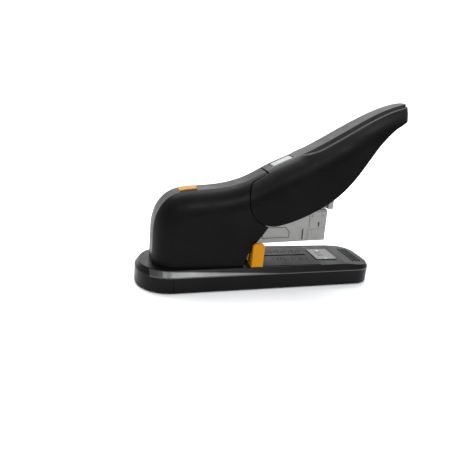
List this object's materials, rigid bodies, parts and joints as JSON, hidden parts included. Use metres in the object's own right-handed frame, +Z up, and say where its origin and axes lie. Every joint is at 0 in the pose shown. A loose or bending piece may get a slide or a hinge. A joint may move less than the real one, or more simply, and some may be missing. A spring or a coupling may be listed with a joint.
{
  "type": "heavy-duty stapler",
  "caption": "Front-lever heavy-duty stapler with a long low base, sliding depth gauge, steel stapling head, draw-out magazine and a padded black cover.",
  "frame": {"origin": "under the middle of the base's length, on its mid-plane, at the surface it stands on", "axes": "+X from the housing towards the anvil and the handle's tip, +Y to the left of that, +Z up"},
  "size_m": [0.32, 0.0826, 0.2259],
  "materials": {
    "black_plastic": "satin",
    "dark_plastic": "matte",
    "base_sheet": "satin",
    "rubber": "matte",
    "sheet_steel": "satin",
    "frame_steel": "satin",
    "anvil_steel": "satin",
    "blade_steel": "satin",
    "spring_steel": "bright",
    "fastener_steel": "bright",
    "gauge_yellow": "satin",
    "button_orange": "satin",
    "label_white": "matte",
    "roller_steel": "bright"
  },
  "bodies": {
    "base": {"base_cover": "black_plastic", "rear_end_cap": "black_plastic", "base_plate": "base_sheet", "rubber_mat": "rubber", "base_screws": "fastener_steel", "frame_rivets": "fastener_steel", "scale_plate": "dark_plastic", "anvil_plate": "anvil_steel", "anvil_screws": "fastener_steel", "housing_cover": "black_plastic", "housing_screws": "fastener_steel", "main_frame": "frame_steel", "handle_pin": "fastener_steel", "head_pin": "fastener_steel", "pin_clips": "spring_steel", "lever_spacers": "fastener_steel", "head_spacers": "fastener_steel", "handle_spring": "spring_steel", "head_spring": "spring_steel", "button_spring": "spring_steel"},
    "handle": {"handle_cover": "black_plastic", "label_plate": "label_white", "handle_undercover": "dark_plastic", "lever_arm": "frame_steel", "cover_pins": "fastener_steel", "drive_roller": "roller_steel", "roller_pin": "fastener_steel"},
    "head": {"head_frame": "sheet_steel", "nose_guards": "sheet_steel", "guard_rivets": "fastener_steel", "latch_pin": "fastener_steel"},
    "driver": {"driver_yoke": "sheet_steel", "driver_blade": "blade_steel", "blade_rivets": "fastener_steel"},
    "magazine": {"magazine_rail": "sheet_steel", "magazine_nose": "sheet_steel", "rail_rivets": "fastener_steel", "guide_rod": "fastener_steel", "pusher_spring": "spring_steel"},
    "pusher": {"staple_pusher": "sheet_steel"},
    "latch": {"magazine_latch": "frame_steel"},
    "gauge": {"depth_gauge": "gauge_yellow", "gauge_clamp": "sheet_steel", "gauge_screw": "fastener_steel", "gauge_nut": "fastener_steel"},
    "button": {"release_button": "button_orange"}
  },
  "joints": [
    {"name": "handle_press", "type": "hinge", "parent": "base", "child": "handle", "pos_m": [0.005, 0, 0.108], "axis": [0, 1, 0], "range_deg": [0, 26.5], "stiffness_Nm_per_rad": 2, "springref_deg": -34.38, "deforming": ["handle_spring"]},
    {"name": "head_tilt", "type": "hinge", "parent": "base", "child": "head", "pos_m": [-0.118, 0, 0.05], "axis": [0, 1, 0], "range_deg": [0, 5.8], "deforming": ["head_spring"]},
    {"name": "driver_slide", "type": "slide", "parent": "head", "child": "driver", "axis": [0.0349, 0, -0.9994], "range_m": [0, 0.0172]},
    {"name": "magazine_slide", "type": "slide", "parent": "head", "child": "magazine", "axis": [0.9994, 0, 0.0349], "range_m": [0, 0.15]},
    {"name": "pusher_slide", "type": "slide", "parent": "magazine", "child": "pusher", "axis": [0.9994, 0, 0.0349], "range_m": [-0.1, 0], "stiffness_N_per_m": 30, "springref_m": 0.1, "deforming": ["pusher_spring"]},
    {"name": "latch_tilt", "type": "hinge", "parent": "head", "child": "latch", "pos_m": [-0.0807, 0, 0.0713], "axis": [0, -1, 0], "range_deg": [0, 12.2]},
    {"name": "button_press", "type": "slide", "parent": "base", "child": "button", "axis": [0, 0, -1], "range_m": [0, 0.003], "stiffness_N_per_m": 800, "springref_m": -0.003, "deforming": ["button_spring"]},
    {"name": "gauge_slide", "type": "slide", "parent": "base", "child": "gauge", "axis": [1, 0, 0], "range_m": [0, 0.06]}
  ],
  "couplings": [
    {"joint": "head_tilt", "follows": "handle_press", "ratio": 0.217},
    {"joint": "driver_slide", "follows": "handle_press", "m_per_rad": 0.03675},
    {"joint": "latch_tilt", "follows": "button_press", "rad_per_m": 69.8}
  ]
}
